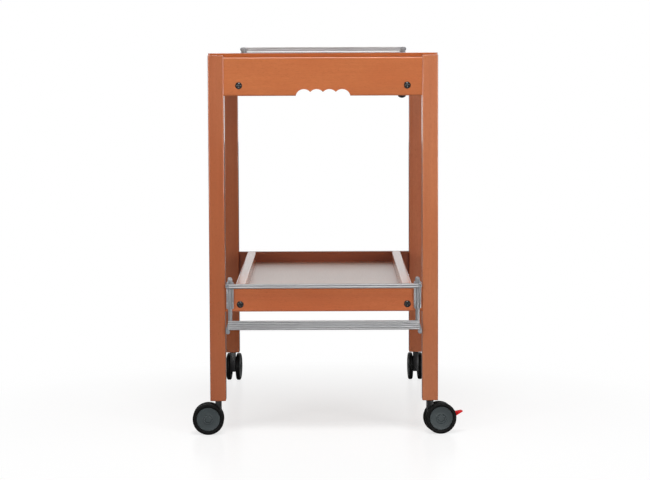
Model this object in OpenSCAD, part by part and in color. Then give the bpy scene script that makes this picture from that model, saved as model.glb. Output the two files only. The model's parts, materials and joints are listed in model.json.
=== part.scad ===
// Kitchen trolley with a worktop, an open tray, two sliding gallery frames and four casters.
// The front faces -Y and the floor is at Z = 0.

/* [Frame] */
// Width over the legs
frame_w = 492; // [440:4:600]
// Depth over the legs
frame_d = 800; // [640:10:1000]
// Height of the worktop above the floor
top_z = 823; // [760:1:900]
// Side of a leg's square section
leg_side = 34; // [30:1:40]
// Radius of a leg's edges
leg_edge_r = 2; // [1:0.5:5]
// Thickness of the aprons and rails
rail_t = 22; // [20:1:26]
// Radius of the aprons' and rails' long edges
rail_edge_r = 4; // [1:0.5:5]
// Step from the legs' end faces back to the aprons and end rails
end_setback = 2.5; // [0.5:0.5:4]
// Gap between a side rail and the legs beside it
side_gap = 21; // [15:1:26]

/* [Worktop] */
// Thickness of the worktop board
board_t = 8.3; // [7.5:0.1:12]
// Thickness left where the board laps over the legs
board_lip = 4; // [3:0.5:5]
// Step from the end rails' outer faces back to the board
board_step = 2.5; // [2:0.5:6]
// Step from the legs' outer faces back to the board's sides
board_side_step = 1; // [0:0.5:3]
// Radius of the board's corners in plan
board_corner_r = 4; // [2:0.5:10]
// Radius of the board's upper and lower edges
board_edge_r = 0.8; // [0.5:0.1:2]
// Height of the aprons and top rails
apron_h = 82.9; // [76:0.1:110]
// Number of scallops in the finger grip
scallops = 4; // [2:1:6]
// Distance between scallops
scallop_pitch = 27.3; // [24:0.1:30]
// Radius of a scallop
scallop_r = 17.9; // [16:0.1:20]
// Depth of the grip above the apron's lower edge
grip_depth = 14.2; // [10:0.1:16]

/* [Tray] */
// Height of the tray rails' upper edges above the floor
tray_z = 326; // [280:1:420]
// Height of the tray rails
tray_rail_h = 58; // [56:1:80]
// Depth of the tray from its rails' upper edges to its panel
tray_depth = 26; // [20:1:28]
// Thickness of the tray panel
panel_t = 8; // [4:0.5:9]
// Depth of the grooves that hold the panel
groove_depth = 7; // [4:0.5:9]

/* [Fasteners] */
// Diameter of the frame bolts
bolt_d = 6; // [5:1:8]
// Length of the frame bolts under the head
bolt_l = 60; // [50:5:70]
// Diameter of the bolts' domed heads
bolt_head_d = 15; // [12:0.5:17]
// Height of the bolts' domed heads
bolt_head_h = 3.6; // [3:0.1:5]
// Width across flats of the bolts' hex sockets
bolt_hex = 4; // [3:0.5:5]
// Height of the apron bolts above the apron's lower edge
apron_bolt_up = 22.2; // [18:0.1:28]
// Height of the tray bolts above the tray rails' lower edges
tray_bolt_up = 16; // [12:1:16]
// Diameter of the barrel nuts
nut_d = 10; // [9:0.5:12]
// Length of the barrel nuts
nut_l = 14; // [12:1:16]
// Distance of the barrel nuts from their rail's end
nut_in = 30; // [20:1:32]
// Diameter of the wooden dowels
dowel_d = 8; // [6:1:8]
// Length of the wooden dowels
dowel_l = 40; // [30:1:40]
// Height of each dowel pair's outer edges from the apron's edges
apron_dowel_edge = 21; // [15:1:30]
// Height of a tray rail's lower dowel above its lower edge
tray_dowel_low = 8; // [7:0.5:10]
// Distance of a tray rail's upper dowel from its upper edge
tray_dowel_high = 18; // [14:0.5:20]
// Diameter of the worktop screws
top_screw_d = 4; // [3:0.5:5]
// Length of the worktop screws
top_screw_l = 33; // [24:1:34]
// Depth that the worktop screws reach into the board
top_screw_grip = 6; // [4:0.5:7]
// Diameter of the worktop screws' heads
top_screw_head_d = 8; // [7:0.5:9]
// Distance of the side rails' worktop screws from the middle
side_screw_y = 250; // [150:10:290]
// Distance of the aprons' worktop screws from the side rails' middles
apron_screw_in = 60; // [30:5:80]

/* [Knob] */
// Diameter of the knob under the right top rail
knob_d = 18.6; // [14:0.2:22]
// Drop of the knob below the rail
knob_drop = 14.3; // [10:0.1:20]
// Distance of the knob in front of the middle
knob_front = 15; // [-80:5:80]
// Distance of the knob outwards from its rail's middle
knob_side = 1.5; // [-3:0.5:3]

/* [Galleries] */
// Gap between a lower guide and the leg beside it
lower_guide_gap = 2.4; // [1:0.1:8]
// Gap between an upper guide and the leg beside it
upper_guide_gap = 7; // [1:0.1:8]
// Width of the rib along a gallery bar's face
bar_w = 4.6; // [3:0.1:5.4]
// Width over a gallery bar's flanges
flange_w = 8.8; // [8:0.1:9.4]
// Width of a guide
guide_w = 15.8; // [15.6:0.1:17.5]
// Width of the slot along a guide
guide_slot_w = 6.6; // [6.2:0.1:7.4]
// Thickness of a guide's back
guide_back = 1.6; // [1:0.1:2]
// Depth of a guide's lips
guide_lip = 1.5; // [1:0.1:2.5]
// Reach of a guide above its rail's upper edge
guide_above = 7.3; // [2:0.1:9]
// Reach of a guide below its rail's upper edge
guide_below = 51.5; // [48:0.1:54]
// Raise of the upper guides, compared with the lower ones
upper_guide_up = 2.6; // [0:0.1:4]
// Height of a guide's post above its rail's upper edge
post_above = 16.9; // [14:0.1:24]
// Width of a guide's post
post_w = 10; // [8:0.5:12]
// Height of a gallery rod
rod_h = 9.8; // [8:0.1:12]
// Depth of a gallery rod
rod_t = 8; // [7:0.2:10]
// Height of a lowered rod's top above its rail's upper edge
rod_above = 2.9; // [1:0.1:4]
// Height of a gallery's ribbed foot rail
foot_h = 19.8; // [18:0.1:24]
// Drop of the foot rail's lower edge below the rail's upper edge, when lowered
foot_drop = 96.5; // [94:0.1:110]
// Number of ribs on a foot rail
foot_ribs = 5; // [3:1:6]
// Travel of a gallery
gallery_travel = 13.6; // [10:0.1:16]

/* [Casters] */
// Diameter of a wheel
wheel_d = 68; // [62:1:75]
// Width of a wheel
wheel_w = 10; // [8:0.5:12]
// Distance between the middles of a caster's two wheels
wheel_pitch = 24; // [22:0.5:28]
// Diameter of a wheel's hub
hub_d = 51.5; // [44:0.5:53]
// Gap from the wheels' tops to the legs
leg_over_wheel = 6; // [5:0.5:12]
// Distance from a caster's stem to its axle
trail = 22; // [18:0.5:26]
// Diameter of an axle
axle_d = 6; // [5:0.5:8]
// Diameter of the stem that a caster turns on
pivot_d = 8; // [6:0.5:9]
// Diameter of the stem inside its leg
stem_d = 11; // [9:0.5:12]
// Outer diameter of the sleeve around a stem
sleeve_d = 14; // [13:0.5:16]
// Length of a stem inside its leg
stem_l = 35; // [25:1:45]
// Direction in which the front left caster trails, in degrees from +X
heading_front_left = 181; // [170:1:190]
// Direction in which the front right caster trails, in degrees from +X
heading_front_right = 10; // [-10:1:20]
// Direction in which the rear left caster trails, in degrees from +X
heading_rear_left = 85; // [70:1:110]
// Direction in which the rear right caster trails, in degrees from +X
heading_rear_right = 93; // [70:1:110]

/* [Brakes] */
// Reach of a brake lever from its caster's stem
lever_reach = 72; // [66:0.5:78]
// Gap between a brake lever's pedal and the wheels beside it
pedal_gap = 0.8; // [0.5:0.1:2]
// Width of a brake lever's arm between the caster's cheeks
arm_w = 6.4; // [5:0.1:7]
// Diameter of a brake lever's pivot
lever_pin_d = 4; // [3:0.5:5]

/* [Fits] */
// Radial play of pins, dowels and axles in their holes
pin_play = 0.05; // [0.02:0.01:0.1]
// Gap between parts that slide or turn past each other
slide_gap = 0.3; // [0.3:0.05:0.6]
// Radial clearance of the bolts in the rails
bolt_clear = 0.2; // [0.1:0.1:0.5]

/* [Hidden] */
$fn = 72;

// Colours
beech = "#b8734c";
board_beech = "#b06a44";
dowel_beech = "#d9b98c";
metal = "#9b9ba0";
steel = "#b4b6b8";
grey_plastic = "#8c9096";
black = "#1b1b1d";
tyre_black = "#222222";
hub_grey = "#3e4648";
lever_red = "#c8262f";

// A small overrun for cuts that pass right through a face
over = 1;

// Heights of the frame
wheel_r = wheel_d / 2;
leg_z = wheel_d + leg_over_wheel;
leg_top_z = top_z - board_lip;
apron_top_z = top_z - board_t;
apron_z = apron_top_z - apron_h;
tray_rail_z = tray_z - tray_rail_h;
panel_z = tray_z - tray_depth - panel_t;

// Places of the frame's parts, from the frame's middle
leg_x = frame_w / 2 - leg_side / 2;
leg_y = frame_d / 2 - leg_side / 2;
end_face_y = frame_d / 2 - end_setback;
end_rail_y = end_face_y - rail_t / 2;
joint_y = end_face_y - rail_t;
end_rail_l = frame_w - 2 * leg_side;
side_rail_x = frame_w / 2 - leg_side - side_gap - rail_t / 2;
side_rail_l = 2 * joint_y;

// Places of the fasteners
bolt_zs = [apron_z + apron_bolt_up, tray_rail_z + tray_bolt_up];
apron_dowel_zs = [apron_z + apron_dowel_edge, apron_top_z - apron_dowel_edge];
tray_dowel_zs = [tray_rail_z + tray_dowel_low, tray_z - tray_dowel_high];
leg_dowel_zs = concat(apron_dowel_zs, tray_dowel_zs);
side_dowel_zs = [apron_dowel_zs[1], tray_z - 0.75 * tray_dowel_high];
side_dowel_in = 13;
dowel_spare = 1;
nut_recess = 1;
nut_x = side_rail_x - rail_t / 2 + nut_recess + nut_l / 2;
top_seat_z = apron_top_z + top_screw_grip - top_screw_l;
top_screw_head_h = 3;
pocket_d = top_screw_head_d + 1;
apron_screw_x = side_rail_x - apron_screw_in;

// Sizes of the knob
knob_stud_d = 5;
knob_stud_l = 20;
knob_neck_d = 11;
knob_rim_h = 9;
knob_dome_r = 0.65 * knob_d;

// Places inside a gallery, measured outwards from the face of its rail
guide_gaps = [lower_guide_gap, upper_guide_gap];
bar_xs = [for (gap = guide_gaps) end_rail_l / 2 - gap - guide_w / 2];
flange_t = 2;
flange_y = guide_back + slide_gap;
lip_y = guide_back + flange_t + 2 * slide_gap;
guide_t = lip_y + guide_lip;
bar_proud = 0.5;
gallery_y = guide_t + bar_proud;
rod_groove_r = 0.9;
rod_end_in = 1.5;
rod_end_out = guide_w / 2 + 1.5;
plug_r = 4.6;
plug_out = flange_w / 2 + 0.6;
plug_down = 4.1;
plug_rise = 13.2;
plug_t = 10.5;
post_t = 3;
guide_corner_r = 3;
guide_wall_in = flange_w / 2 + slide_gap;
guide_screw_x = (guide_w / 2 + guide_wall_in) / 2;
guide_screw_low = 13.3;
guide_screw_high = 5.5;
guide_screw_d = 2;
guide_screw_head_d = 2.6;
guide_screw_head_h = 0.8;
guide_screw_grip = 7;
recess_d = 3.2;
recess_t = 1.2;
guide_rises = [0, upper_guide_up];
gallery_rails = [tray_z, apron_top_z];
gallery_faces = [-1, 1];
gallery_lifts = [0, gallery_travel];

// Places inside a caster: +X trails away from the stem and the wheels stand at -Y and +Y
corner_sx = [-1, 1, -1, 1];
corner_sy = [-1, -1, 1, 1];
corner_heading = [heading_front_left, heading_front_right, heading_rear_left, heading_rear_right];
corner_braked = [false, true, true, false];
collar_t = 1.2;
collar_d = 13;
body_top_z = leg_z - collar_t - slide_gap;
body_low_z = 24;
body_t = wheel_pitch - wheel_w - 0.8;
neck_l = 13.5;
web_r = 25;
pivot_l = 25;
wheel_in = wheel_pitch / 2 - wheel_w / 2;
tyre_round_r = 3.2;
hub_plate_t = 2.6;
hub_rim_t = 3.2;
hub_boss_d = 13;
hub_boss_rise = 0.4;
axle_end_gap = 0.4;
hub_plate_y = wheel_in + wheel_w - hub_boss_rise - hub_plate_t;

// Places inside a brake, in the caster's own plane
lever_pivot = [trail + 16, wheel_r + hub_d / 2 - hub_rim_t - 9.1];
crossbar_up = hub_d / 2 - hub_rim_t - 6.3;
crossbar = [trail - 2.6, wheel_r + crossbar_up];
crossbar_d = 3.6;
crossbar_l = 2 * (hub_plate_y - 2.5);
pedal_in = trail + web_r + 4.5;
pedal_w = 2 * (wheel_in - pedal_gap);
slot_w = arm_w + 2 * slide_gap;
slot_l = 2 * web_r;
slot_low_z = wheel_r + axle_d / 2 + 2;
notch_l = 6;

// The frame's middle stands beside the origin, so that the outline is centred on it
right_reach = leg_x + lever_reach * cos(heading_front_right);
left_reach = leg_x - (trail + wheel_r) * cos(heading_front_left);
front_reach = end_face_y + gallery_y + rod_t;
rear_reach = leg_y + lever_reach * sin(heading_rear_left);
mid_x = (left_reach - right_reach) / 2;
mid_y = (front_reach - rear_reach) / 2;

// Shared helpers
module at_frame() translate([mid_x, mid_y, 0]) children();

// A square with round corners, made of plain shapes so that it stays exact
module rounded_rect(x, y, r) {
    square([x, y - 2 * r], center = true);
    square([x - 2 * r, y], center = true);
    for (sx = [-1, 1], sy = [-1, 1])
        translate([sx * (x / 2 - r), sy * (y / 2 - r)])
            circle(r);
}

// A round hole or pin along X, centred on its place
module round_x(d, l) rotate([0, 90, 0]) cylinder(d = d, h = l, center = true);

// A round hole or pin along Y, centred on its place
module round_y(d, l) rotate([90, 0, 0]) cylinder(d = d, h = l, center = true);

// A block with round edges, centred on its place
module rounded_block(x, y, z, r)
    intersection() {
        linear_extrude(z, center = true) rounded_rect(x, y, r);
        rotate([90, 0, 0]) linear_extrude(y, center = true) rounded_rect(x, z, r);
        rotate([90, 0, 90]) linear_extrude(x, center = true) rounded_rect(y, z, r);
    }

// Frame
module leg(sx, sy) {
    difference() {
        translate([sx * leg_x, sy * leg_y, (leg_z + leg_top_z) / 2])
            rounded_block(leg_side, leg_side, leg_top_z - leg_z, leg_edge_r);
        for (z = leg_dowel_zs)
            translate([sx * end_rail_l / 2, sy * end_rail_y, z])
                round_x(dowel_d + 2 * pin_play, dowel_l + 2 * dowel_spare);
        translate([sx * leg_x, sy * leg_y, leg_z - over])
            cylinder(d = sleeve_d + 2 * pin_play, h = stem_l + 2 * over);
    }
}

// The board laps over the legs' tops and its underside rests on the aprons and rails
module board() {
    board_l = 2 * (end_face_y - board_step);
    board_w = frame_w - 2 * board_side_step;
    difference() {
        intersection() {
            translate([0, 0, apron_top_z])
                linear_extrude(board_t)
                    rounded_rect(board_w, board_l, board_corner_r);
            translate([0, 0, apron_top_z + board_t / 2]) {
                intersection() {
                    rotate([90, 0, 0])
                        linear_extrude(board_l, center = true)
                            rounded_rect(board_w, board_t, board_edge_r);
                    rotate([90, 0, 90])
                        linear_extrude(board_w, center = true)
                            rounded_rect(board_l, board_t, board_edge_r);
                }
            }
        }
        for (sx = [-1, 1], sy = [-1, 1])
            translate([sx * frame_w / 2, sy * frame_d / 2, apron_top_z])
                cube([2 * leg_side, 2 * leg_side, 2 * (board_t - board_lip)], center = true);
        for (p = top_screw_places())
            translate([p[0], p[1], apron_top_z - over])
                cylinder(d = top_screw_d + 2 * pin_play, h = top_screw_grip + over);
    }
}

function top_screw_places() = concat(
    [for (sx = [-1, 1], sy = [-1, 1]) [sx * side_rail_x, sy * side_screw_y]],
    [for (sx = [-1, 1], sy = [-1, 1]) [sx * apron_screw_x, sy * end_rail_y]]
);

module end_rail_bar(sy, z, h)
    translate([0, sy * end_rail_y, z + h / 2])
        rotate([90, 0, 90])
            linear_extrude(end_rail_l, center = true)
                rounded_rect(rail_t, h, rail_edge_r);

module side_rail_bar(sx, z, h)
    translate([sx * side_rail_x, 0, z + h / 2])
        rotate([90, 0, 0])
            linear_extrude(side_rail_l, center = true)
                rounded_rect(rail_t, h, rail_edge_r);

module bolt_holes(sy, bolt_z)
    for (sx = [-1, 1])
        translate([sx * side_rail_x, sy * (joint_y + rail_t / 2), bolt_z])
            round_y(bolt_d + 2 * bolt_clear, rail_t + 2 * over);

module leg_dowel_holes(sy, zs)
    for (sx = [-1, 1], z = zs)
        translate([sx * end_rail_l / 2, sy * end_rail_y, z])
            round_x(dowel_d + 2 * pin_play, dowel_l + 2 * dowel_spare);

// The holes for the dowels between side rails and end rails
module side_dowel_holes(sx, sy, z)
    translate([sx * side_rail_x, sy * (joint_y + side_dowel_in - dowel_l / 2), z])
        round_y(dowel_d + 2 * pin_play, dowel_l + 2 * dowel_spare);

module guide_pilot_holes(g)
    for (sx = [-1, 1], s = [-1, 1], z = guide_screw_zs(g))
        translate([
            sx * bar_xs[g] + s * guide_screw_x,
            gallery_faces[g] * end_face_y,
            gallery_rails[g] + guide_rises[g] + z
        ])
            round_y(guide_screw_d + 2 * pin_play, 2 * guide_screw_grip);

module top_screw_pockets(places)
    for (p = places)
        translate([p[0], p[1], 0]) {
            translate([0, 0, apron_z - over])
                cylinder(d = pocket_d, h = top_seat_z - apron_z + over);
            translate([0, 0, apron_z])
                cylinder(d = top_screw_d + 2 * bolt_clear, h = apron_h + over);
        }

// The tray panel, which also cuts the grooves that hold it
module panel()
    translate([0, 0, panel_z + panel_t / 2])
        cube([
            2 * (side_rail_x - rail_t / 2 + groove_depth),
            2 * (joint_y + groove_depth),
            panel_t
        ], center = true);

module finger_grip()
    for (i = [0 : scallops - 1])
        translate([
            (i - (scallops - 1) / 2) * scallop_pitch,
            -end_rail_y,
            apron_z + grip_depth - scallop_r
        ])
            round_y(2 * scallop_r, rail_t + 2 * over);

module apron(sy) {
    difference() {
        end_rail_bar(sy, apron_z, apron_h);
        bolt_holes(sy, bolt_zs[0]);
        leg_dowel_holes(sy, apron_dowel_zs);
        for (sx = [-1, 1]) side_dowel_holes(sx, sy, side_dowel_zs[0]);
        top_screw_pockets([for (sx = [-1, 1]) [sx * apron_screw_x, sy * end_rail_y]]);
        if (sy < 0) finger_grip();
        if (sy > 0) guide_pilot_holes(1);
    }
}

module tray_end_rail(sy) {
    difference() {
        end_rail_bar(sy, tray_rail_z, tray_rail_h);
        bolt_holes(sy, bolt_zs[1]);
        leg_dowel_holes(sy, tray_dowel_zs);
        for (sx = [-1, 1]) side_dowel_holes(sx, sy, side_dowel_zs[1]);
        panel();
        if (sy < 0) guide_pilot_holes(0);
    }
}

// The end holes of a side rail: bolt, cross hole for the barrel nut, and dowel
module side_rail_joints(sx, bolt_z, dowel_z)
    for (sy = [-1, 1]) {
        translate([sx * side_rail_x, sy * (joint_y + rail_t - (bolt_l + 2) / 2), bolt_z])
            round_y(bolt_d + 2 * bolt_clear, bolt_l + 2);
        translate([
            sx * (side_rail_x - rail_t / 2 - over + (nut_l + nut_recess + over) / 2),
            sy * (joint_y - nut_in),
            bolt_z
        ])
            round_x(nut_d + 2 * pin_play, nut_l + nut_recess + over);
        side_dowel_holes(sx, sy, dowel_z);
    }

module top_rail(sx) {
    difference() {
        side_rail_bar(sx, apron_z, apron_h);
        side_rail_joints(sx, bolt_zs[0], side_dowel_zs[0]);
        top_screw_pockets([for (sy = [-1, 1]) [sx * side_rail_x, sy * side_screw_y]]);
        if (sx > 0)
            translate([side_rail_x + knob_side, -knob_front, apron_z - over])
                cylinder(d = knob_stud_d + 2 * pin_play, h = knob_stud_l + over + 1);
    }
}

module tray_side_rail(sx) {
    difference() {
        side_rail_bar(sx, tray_rail_z, tray_rail_h);
        side_rail_joints(sx, bolt_zs[1], side_dowel_zs[1]);
        panel();
    }
}

// Fasteners
module domed_bolt() {
    dome_r = (bolt_head_d * bolt_head_d / 4 + bolt_head_h * bolt_head_h) / (2 * bolt_head_h);
    rotate([-90, 0, 0]) {
        difference() {
            intersection() {
                translate([0, 0, dome_r - bolt_head_h]) sphere(dome_r);
                translate([0, 0, -bolt_head_h]) cylinder(d = bolt_head_d + 1, h = bolt_head_h);
            }
            translate([0, 0, -bolt_head_h - over])
                cylinder(d = bolt_hex / cos(30), h = bolt_head_h - 1.2 + over, $fn = 6);
        }
        cylinder(d = bolt_d, h = bolt_l);
    }
}

module all_bolts()
    for (sx = [-1, 1], sy = [-1, 1], z = bolt_zs)
        translate([sx * side_rail_x, sy * end_face_y, z])
            rotate([0, 0, sy < 0 ? 0 : 180])
                domed_bolt();

module all_nuts()
    for (sx = [-1, 1], sy = [-1, 1], z = bolt_zs)
        difference() {
            translate([sx * nut_x, sy * (joint_y - nut_in), z]) round_x(nut_d, nut_l);
            translate([sx * side_rail_x, sy * (joint_y - nut_in), z])
                round_y(bolt_d + 2 * pin_play, nut_d + 2 * over);
        }

module all_dowels() {
    for (sx = [-1, 1], sy = [-1, 1], z = leg_dowel_zs)
        translate([sx * end_rail_l / 2, sy * end_rail_y, z])
            round_x(dowel_d, dowel_l);
    for (sx = [-1, 1], sy = [-1, 1], z = side_dowel_zs)
        translate([sx * side_rail_x, sy * (joint_y + side_dowel_in - dowel_l / 2), z])
            round_y(dowel_d, dowel_l);
}

module all_top_screws()
    for (p = top_screw_places())
        translate([p[0], p[1], top_seat_z]) {
            translate([0, 0, -top_screw_head_h])
                cylinder(d = top_screw_head_d, h = top_screw_head_h);
            cylinder(d = top_screw_d, h = top_screw_l);
        }

module knob()
    translate([side_rail_x + knob_side, -knob_front, apron_z]) {
        rotate_extrude() {
            intersection() {
                translate([0, -knob_drop]) square([knob_d / 2, knob_rim_h]);
                translate([0, knob_dome_r - knob_drop]) circle(knob_dome_r);
            }
            translate([0, knob_rim_h - knob_drop])
                square([knob_neck_d / 2, knob_drop - knob_rim_h]);
        }
        cylinder(d = knob_stud_d, h = knob_stud_l);
    }

// Galleries: g is 0 for the lower one, in front of the tray, and 1 for the upper one, behind
// the worktop. Local +Y points out of the rail's face and local Z is 0 at its upper edge, plus
// the raise of its guides.
module at_gallery(g)
    translate([0, gallery_faces[g] * end_face_y, gallery_rails[g] + guide_rises[g]])
        rotate([0, 0, gallery_faces[g] < 0 ? 180 : 0])
            children();

// The heights of a guide's screws: the upper ones keep their place on the rail
function guide_screw_zs(g) = [
    guide_screw_low - guide_below,
    -guide_screw_high - guide_rises[g]
];

// The channel, seen from above: back, side walls and the lips that hold the bar's flanges
module guide_section()
    difference() {
        translate([-guide_w / 2, 0]) square([guide_w, guide_t]);
        translate([-guide_wall_in, guide_back])
            square([2 * guide_wall_in, lip_y - guide_back]);
        translate([-guide_slot_w / 2, guide_back]) square([guide_slot_w, guide_t]);
    }

module guide(g) {
    guide_l = guide_above + guide_below;
    difference() {
        intersection() {
            translate([0, 0, -guide_below]) linear_extrude(guide_l) guide_section();
            translate([0, guide_t / 2, guide_above - guide_l / 2])
                rotate([90, 0, 0])
                    linear_extrude(guide_t + 2 * over, center = true)
                        rounded_rect(guide_w, guide_l, guide_corner_r);
        }
        for (s = [-1, 1], z = guide_screw_zs(g))
            translate([s * guide_screw_x, guide_t / 2, z]) {
                round_y(guide_screw_d + 2 * pin_play, guide_t + 2 * over);
                translate([0, guide_t / 2, 0])
                    round_y(guide_screw_head_d + 2 * pin_play, 2 * guide_screw_head_h);
            }
    }
    translate([0, guide_back, 0])
        rotate([90, 0, 0])
            linear_extrude(post_t) {
                translate([-post_w / 2, slide_gap])
                    square([post_w, post_above - post_w / 2 - slide_gap]);
                translate([0, post_above - post_w / 2]) circle(post_w / 2);
            }
}

module guides(g)
    at_gallery(g)
        for (sx = [-1, 1])
            translate([sx * bar_xs[g], 0, 0]) guide(g);

module all_guide_screws()
    for (g = [0, 1])
        at_gallery(g)
            for (sx = [-1, 1], s = [-1, 1], z = guide_screw_zs(g))
                translate([sx * bar_xs[g] + s * guide_screw_x, 0, z])
                    rotate([90, 0, 0])
                        translate([0, 0, -guide_t]) {
                            cylinder(d = guide_screw_d, h = guide_t + guide_screw_grip - 1);
                            cylinder(d = guide_screw_head_d, h = guide_screw_head_h);
                        }

// The bars' section, seen from above: the flanges and the rib that shows in the guides' slots
module bar_section() {
    translate([-flange_w / 2, flange_y]) square([flange_w, flange_t]);
    translate([-bar_w / 2, flange_y]) square([bar_w, gallery_y - flange_y]);
}

module gallery_bars(g)
    at_gallery(g)
        for (sx = [-1, 1])
            translate([sx * bar_xs[g], 0, gallery_lifts[g] - foot_drop])
                linear_extrude(foot_drop + rod_above - 1)
                    bar_section();

// The rod's section, seen from its end: two beads with a groove between them, and a second
// groove along its back
module rod_section() {
    bead_r = rod_h / 4 + 0.1;
    difference() {
        translate([gallery_y, -rod_h / 2]) square([rod_t - bead_r, rod_h]);
        translate([gallery_y, 0]) circle(rod_groove_r);
    }
    for (s = [-1, 1])
        translate([gallery_y + rod_t - bead_r, s * (rod_h / 2 - bead_r)]) circle(bead_r);
}

module gallery_rod(g)
    at_gallery(g)
        translate([0, 0, gallery_lifts[g] + rod_above - rod_h / 2])
            rotate([90, 0, 90])
                linear_extrude(2 * (bar_xs[g] + rod_end_in), center = true)
                    rod_section();

// The foot rail's section, seen from its end: a flat bar with ribs along its face
module foot_section() {
    rib_r = foot_h / foot_ribs / 2 - 0.35;
    foot_t = 5;
    translate([gallery_y, 0]) square([foot_t, foot_h]);
    for (i = [0 : foot_ribs - 1])
        translate([gallery_y + foot_t - 0.5, (i + 0.5) * foot_h / foot_ribs])
            circle(rib_r);
}

module gallery_foot(g)
    at_gallery(g)
        translate([0, 0, gallery_lifts[g] - foot_drop])
            rotate([90, 0, 90])
                linear_extrude(2 * bar_xs[g] + flange_w, center = true)
                    foot_section();

// The rod's end: square where it takes the rod and round where it ends
module rod_plug()
    translate([0, gallery_y + rod_t, rod_above - rod_h / 2])
        difference() {
            rotate([90, 0, 0])
                linear_extrude(rod_t)
                    intersection() {
                        translate([rod_end_in, -rod_h / 2])
                            square([rod_end_out - rod_end_in, rod_h]);
                        union() {
                            translate([0, -rod_h / 2])
                                square([rod_end_out - rod_h / 2, rod_h]);
                            translate([rod_end_out - rod_h / 2, 0]) circle(rod_h / 2);
                        }
                    }
            translate([rod_end_out - rod_h / 2, 0, 0]) round_y(recess_d, 2 * recess_t);
        }

// The foot plug: it caps the foot rail's end and hangs below it in a round lobe
module foot_plug()
    translate([0, flange_y + plug_t, -foot_drop])
        rotate([90, 0, 0])
            linear_extrude(plug_t)
                difference() {
                    union() {
                        translate([plug_out, -plug_down]) circle(plug_r);
                        polygon([
                            [plug_out, -plug_down],
                            [plug_out + plug_r, -plug_down],
                            [plug_out + plug_r - 0.6, 0],
                            [flange_w / 2 + 0.8, plug_rise],
                            [flange_w / 2 - over, plug_rise],
                            [flange_w / 2 - over, -plug_down]
                        ]);
                    }
                    translate([-2 * flange_w, 0]) square([2.5 * flange_w, foot_h]);
                }

module gallery_plugs(g)
    at_gallery(g)
        translate([0, 0, gallery_lifts[g]])
            for (m = [0, 1])
                mirror([m, 0, 0])
                    translate([bar_xs[g], 0, 0]) {
                        rod_plug();
                        foot_plug();
                    }

// Casters: c is 0 front left, 1 front right, 2 rear left and 3 rear right
module at_caster(c)
    translate([corner_sx[c] * leg_x, corner_sy[c] * leg_y, 0])
        rotate([0, 0, corner_heading[c]])
            children();

module all_stems()
    for (c = [0 : 3])
        at_caster(c) {
            translate([0, 0, leg_z]) cylinder(d = stem_d, h = stem_l);
            translate([0, 0, leg_z - collar_t]) cylinder(d = collar_d, h = collar_t);
            translate([0, 0, body_top_z - pivot_l]) cylinder(d = pivot_d, h = pivot_l + slide_gap);
        }

module all_sleeves()
    for (c = [0 : 3])
        at_caster(c)
            translate([0, 0, leg_z])
                difference() {
                    cylinder(d = sleeve_d, h = stem_l);
                    translate([0, 0, -over])
                        cylinder(d = stem_d + 2 * pin_play, h = stem_l + 2 * over);
                }

// The slots of a braked body: one for the lever's arm and one for its crossbar
module lever_slots() {
    translate([crossbar[0] - 5.5, -slot_w / 2, slot_low_z])
        cube([slot_l, slot_w, wheel_d]);
    translate([lever_pivot[0] - 5, -slot_w / 2, slot_low_z - 8])
        cube([slot_l, slot_w, wheel_d]);
    translate([crossbar[0] - notch_l / 2, -body_t, crossbar[1] - crossbar_d / 2 - 1])
        cube([notch_l, 2 * body_t, wheel_d]);
    translate([lever_pivot[0], 0, lever_pivot[1]])
        round_y(lever_pin_d + 2 * pin_play, body_t + 2 * over);
}

module caster_body(c)
    at_caster(c)
        difference() {
            rotate([90, 0, 0])
                linear_extrude(body_t, center = true) {
                    translate([-neck_l / 2, body_low_z])
                        square([neck_l, body_top_z - body_low_z]);
                    difference() {
                        translate([trail, wheel_r]) circle(web_r);
                        translate([trail - 2 * web_r, body_low_z - 2 * web_r])
                            square([4 * web_r, 2 * web_r]);
                    }
                }
            translate([0, 0, body_top_z - pivot_l - slide_gap])
                cylinder(d = pivot_d + 2 * pin_play, h = pivot_l + slide_gap + over);
            translate([trail, 0, wheel_r]) round_y(axle_d + 2 * pin_play, body_t + 2 * over);
            if (corner_braked[c]) lever_slots();
        }

module axle(c)
    at_caster(c)
        translate([trail, 0, wheel_r]) round_y(axle_d, 2 * (hub_plate_y - axle_end_gap));

// A wheel's sections lie in the plane of its radius and its axle
module tyre_section() {
    inner_r = hub_d / 2;
    difference() {
        translate([inner_r, wheel_in]) square([wheel_r - inner_r, wheel_w]);
        for (y = [wheel_in, wheel_in + wheel_w - tyre_round_r])
            translate([wheel_r - tyre_round_r, y]) square([tyre_round_r + over, tyre_round_r]);
    }
    for (y = [wheel_in + tyre_round_r, wheel_in + wheel_w - tyre_round_r])
        translate([wheel_r - tyre_round_r, y]) circle(tyre_round_r);
}

module hub_section() {
    bore_r = axle_d / 2 + pin_play;
    translate([bore_r, wheel_in])
        square([hub_boss_d / 2 - bore_r, hub_plate_y - wheel_in]);
    translate([0, hub_plate_y]) square([hub_d / 2, hub_plate_t]);
    translate([0, hub_plate_y]) square([hub_boss_d / 2, hub_plate_t + hub_boss_rise]);
    translate([hub_d / 2 - hub_rim_t, wheel_in + slide_gap])
        square([hub_rim_t, hub_plate_y - wheel_in]);
}

module at_wheel(c, side)
    at_caster(c)
        translate([trail, 0, wheel_r])
            rotate([-90 * side, 0, 0])
                children();

module tyre(c, side) at_wheel(c, side) rotate_extrude($fn = 120) tyre_section();

module hub(c, side) at_wheel(c, side) rotate_extrude($fn = 120) hub_section();

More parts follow.
